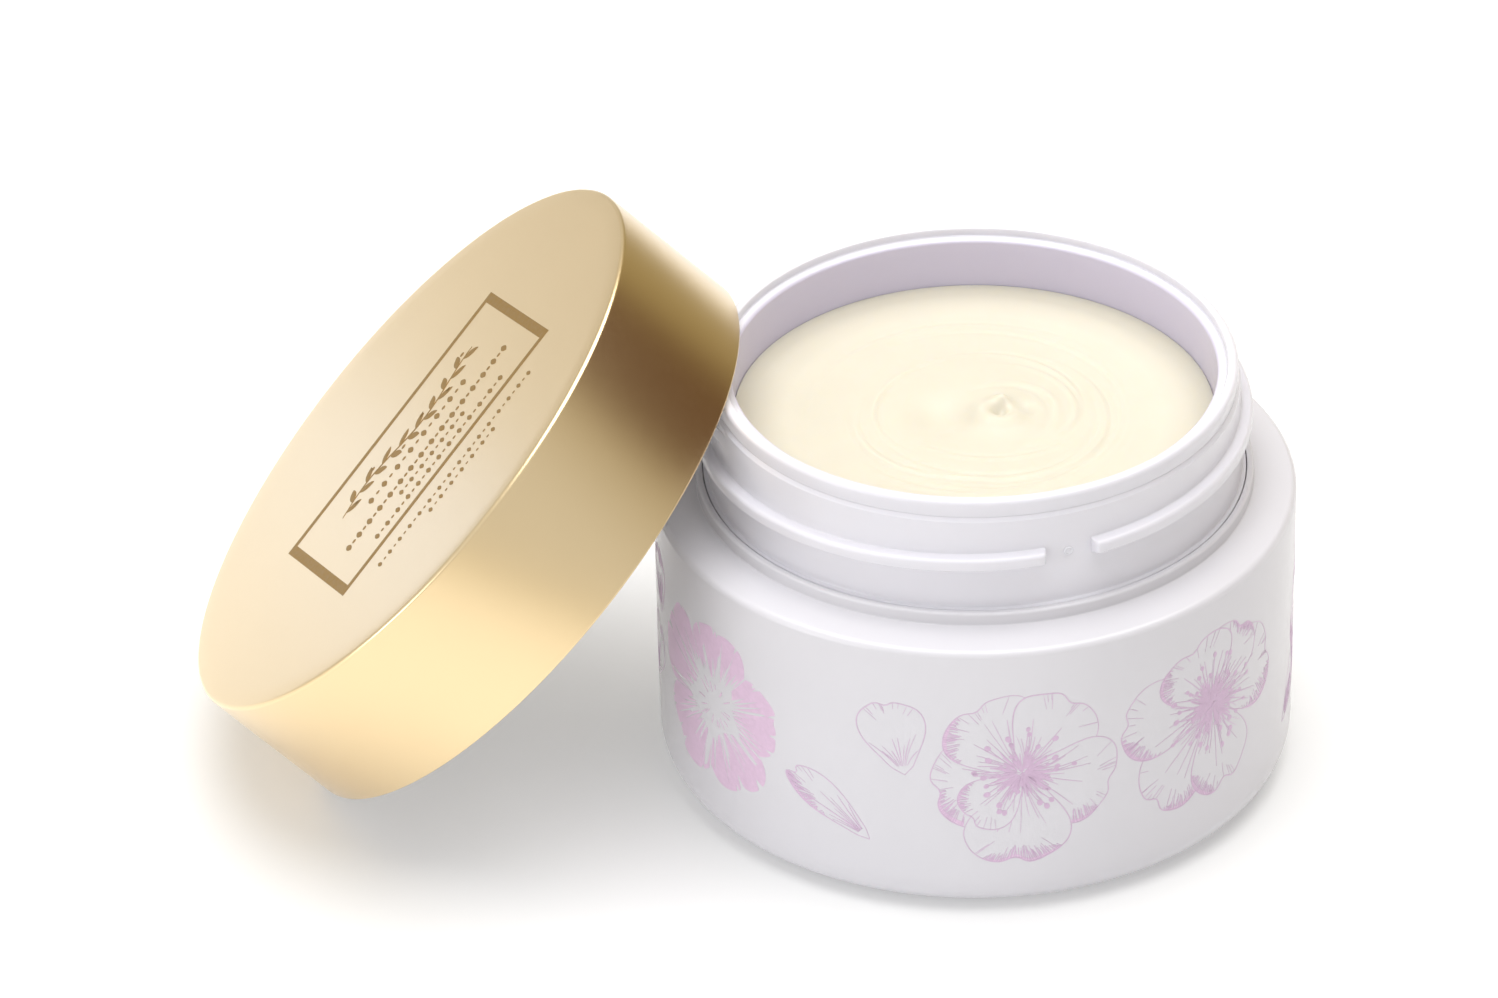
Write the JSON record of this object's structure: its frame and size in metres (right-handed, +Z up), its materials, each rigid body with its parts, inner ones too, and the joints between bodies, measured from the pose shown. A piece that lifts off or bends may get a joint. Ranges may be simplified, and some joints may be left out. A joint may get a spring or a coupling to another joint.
{
  "type": "cosmetic cream jar",
  "caption": "Round white cosmetic cream jar, open and full, with a threaded neck, lilac blossom print and a satin gold screw lid that leans on its lip.",
  "frame": {"origin": "centre of the underside of the jar's base, on the jar's axis", "axes": "+Z up along the jar's axis; -X towards the leaning lid; +Y away from the side with the blossom print"},
  "size_m": [0.1344, 0.0782, 0.0698],
  "materials": {
    "jar_white": "smooth gloss, opaque white moulding",
    "cup_white": "smooth semi-gloss, opaque white moulding",
    "cream": "soft moist sheen, pale yellow cream with a smoothed surface",
    "lid_gold": "satin metallised champagne gold",
    "cap_white": "plain semi-matte white moulding",
    "seal_foam": "soft matte off-white foam sheet",
    "print_lilac": "thin semi-matte lilac-pink screen print",
    "print_gold": "thin darker gold stamping"
  },
  "bodies": {
    "jar": {"outer_jar": "jar_white", "base_plate": "jar_white", "inner_cup": "cup_white", "cream_fill": "cream"},
    "lid_seal": {"lid_seal_disc": "seal_foam"},
    "lid": {"lid_shell": "lid_gold", "lid_inner_cap": "cap_white"}
  },
  "joints": [
    {"name": "lid_rise", "type": "slide", "parent": "jar", "child": "lid_seal", "axis": [-0.7314, 0, 0.682], "range_m": [0, 0.005]},
    {"name": "lid_turn", "type": "hinge", "parent": "lid_seal", "child": "lid", "pos_m": [-0.05485, 0, 0.02842], "axis": [-0.7314, 0, 0.682], "range_deg": [0, 396]}
  ],
  "couplings": [
    {"joint": "lid_rise", "follows": "lid_turn", "m_per_rad": 0.0007162}
  ]
}
